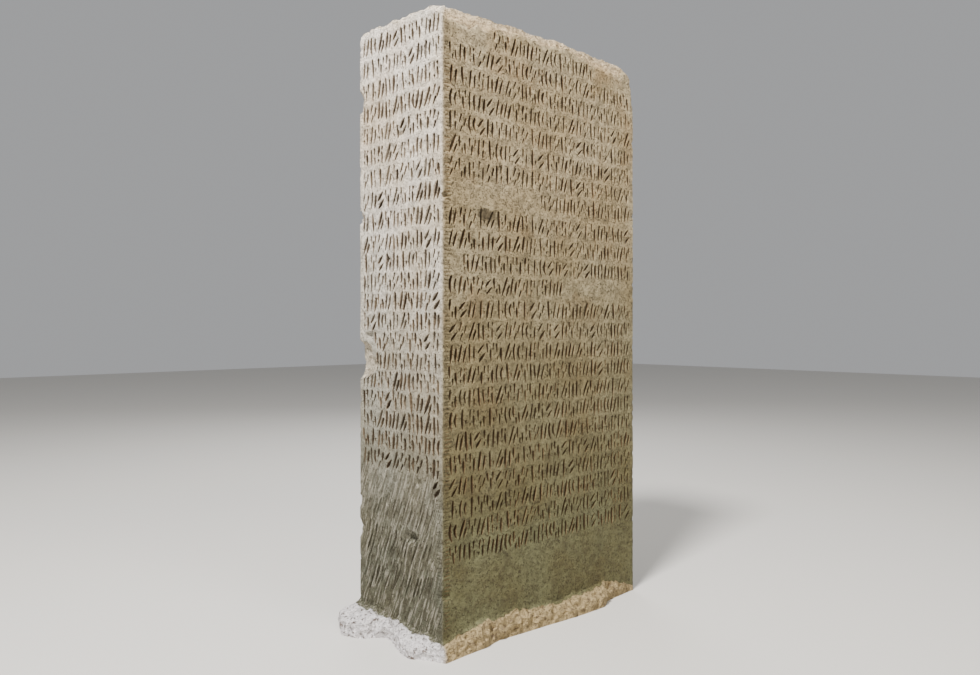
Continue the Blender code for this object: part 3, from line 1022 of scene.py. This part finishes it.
    # the strokes darkened by their dirt and by painted shade
    colour = mix(dirtAndShade.between(0.07, 0.40) * worn, colour, mix(left, look["groove"], leftStrokeDirtAndShade))
    leftOf, level, acrossScale, upScale = look["blotch"]
    aside, above = (x + leftOf) * acrossScale, (z - level) * upScale
    blotch = aside * aside + above * above + (noise(85.0, 5.0, 0.7) * 2.6 - 1.3)
    colour = mix((1.0 - blotch.between(0.3, 1.1)) * front * 0.8, colour, look["stain"])

    # fine relief, as heights in metres
    cells = Wire.node(tree, "ShaderNodeTexVoronoi", {"feature": "F1"},
                      {"Vector": place, "Scale": 90.0})
    grain = noise(420.0, 3.0, 0.6) * 0.0016 + mottle * 0.0055 + coarse * 0.0080
    crumbs = (cells * 0.0090 + (noise(60.0, 5.0, 0.65) - 0.8) * 0.0140) * crumbly
    dressed = tooled * 0.0120 + (1.0 - front.atLeast(left)) * (1.0 - fresh) * 0.0045
    relief = grain + crumbs + (streaks - 0.5) * dressed - pits * 0.0016 - holes * 0.005
    bump = Wire.node(tree, "ShaderNodeBump", {},
                     {"Height": relief, "Distance": 1.0, "Strength": 1.0})
    roughness = 0.86 + mottle * 0.10

    tree.links.new(colour.socket, shader.inputs["Base Color"])
    tree.links.new(roughness.socket, shader.inputs["Roughness"])
    tree.links.new(bump.socket, shader.inputs["Normal"])
    shader.inputs["Specular IOR Level"].default_value = 0.25
    return material


studio = {
    "floor": tone(204, 201, 195),
    "floorReach": 9,
    "air": (0.92, 0.93, 0.95, 1.0),
    "airStrength": 0.42,
    "lights": {
        "key": {"place": (-1.6, -0.65, 3.3), "size": 0.6, "power": 282,
                "colour": (1.0, 0.98, 0.96)},
        "fill": {"place": (0.0, -2.4, 2.9), "size": 0.9, "power": 40,
                 "colour": (1.0, 0.94, 0.85)},
        "back": {"place": (1.6, 2.2, 2.4), "size": 1.6, "power": 40,
                 "colour": (0.97, 0.98, 1.0)},
    },
    "aim": (0.0, 0.0, 0.55),
}
camera = {"place": (-1.2021, -1.2086, 0.5711), "heading": 43.86, "lens": 30.65, "sensor": 36.0,
          "shiftUp": -0.0123, "nearest": 0.02}


def makeStudio():
    reach = studio["floorReach"]
    mesh = bpy.data.meshes.new("floor")
    mesh.from_pydata([(-reach, -reach, 0), (reach, -reach, 0), (reach, reach, 0),
                      (-reach, reach, 0)], [], [(0, 1, 2, 3)])
    floor = addObject("floor", mesh)
    material = bpy.data.materials.new("paleFloor")
    material.use_nodes = True
    shader = material.node_tree.nodes["Principled BSDF"]
    shader.inputs["Base Color"].default_value = studio["floor"]
    shader.inputs["Roughness"].default_value = 0.8
    mesh.materials.append(material)
    world = bpy.data.worlds.new("air")
    world.use_nodes = True
    background = world.node_tree.nodes["Background"]
    background.inputs["Color"].default_value = studio["air"]
    background.inputs["Strength"].default_value = studio["airStrength"]
    bpy.context.scene.world = world
    for name, given in studio["lights"].items():
        light = bpy.data.lights.new(name, "AREA")
        light.shape = "DISK"
        light.size = given["size"]
        light.energy = given["power"]
        light.color = given["colour"]
        lamp = addObject(name, light)
        lamp.location = given["place"]
        aim = Vector(studio["aim"]) - Vector(given["place"])
        lamp.rotation_euler = aim.to_track_quat("-Z", "Y").to_euler()


def makeCamera():
    data = bpy.data.cameras.new("camera")
    data.lens = camera["lens"]
    data.sensor_width = camera["sensor"]
    data.shift_y = camera["shiftUp"]
    data.clip_start = camera["nearest"]
    obj = addObject("camera", data)
    obj.location = camera["place"]
    obj.rotation_euler = (math.radians(90), 0, -math.radians(camera["heading"]))
    bpy.context.scene.camera = obj


makeCamera()
makeStudio()
stoneMaterial = makeStoneMaterial()
print("camera, light and stone material made")

strokeTree = makeStrokeTree()
lines = {name: [] for name in sides}
for sideName, places, marks, kind in (
        ("front", rowPlaces(frontRows), rowMarks, "frontRow"),
        ("left", rowPlaces(leftRows), rowMarks, "leftRow"),
        ("front", tickPlaces("front"), tickMarks, "tick"),
        ("left", tickPlaces("left"), tickMarks, "tick"),
        ("left", streakPlaces(), streakMarks, "streak")):
    lines[sideName] += strokeLines(strokeTree, places, marks, kind, stoneMaterial)
print("strokes laid out:", {name: len(found) for name, found in lines.items()})

sheet = wrapSides({name: sideSheet(name, lines[name]) for name in sides})
shapeSlab(sheet)
closeCaps(sheet)
slab = addObject("slab", sheetMesh(sheet))
slab.data.materials.append(stoneMaterial)
print("slab shaped:", len(sheet["faces"]), "triangles")

finished = bakeTree(slab, makeSurfaceTree(), {**surface, "Material": stoneMaterial})
bpy.data.objects.remove(slab)
finished.set_sharp_from_angle(angle=math.radians(38))
stele = addObject("carvedStone", finished)
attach(stele, "root")
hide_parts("stele")
print("surface worn:", len(finished.polygons), "faces")
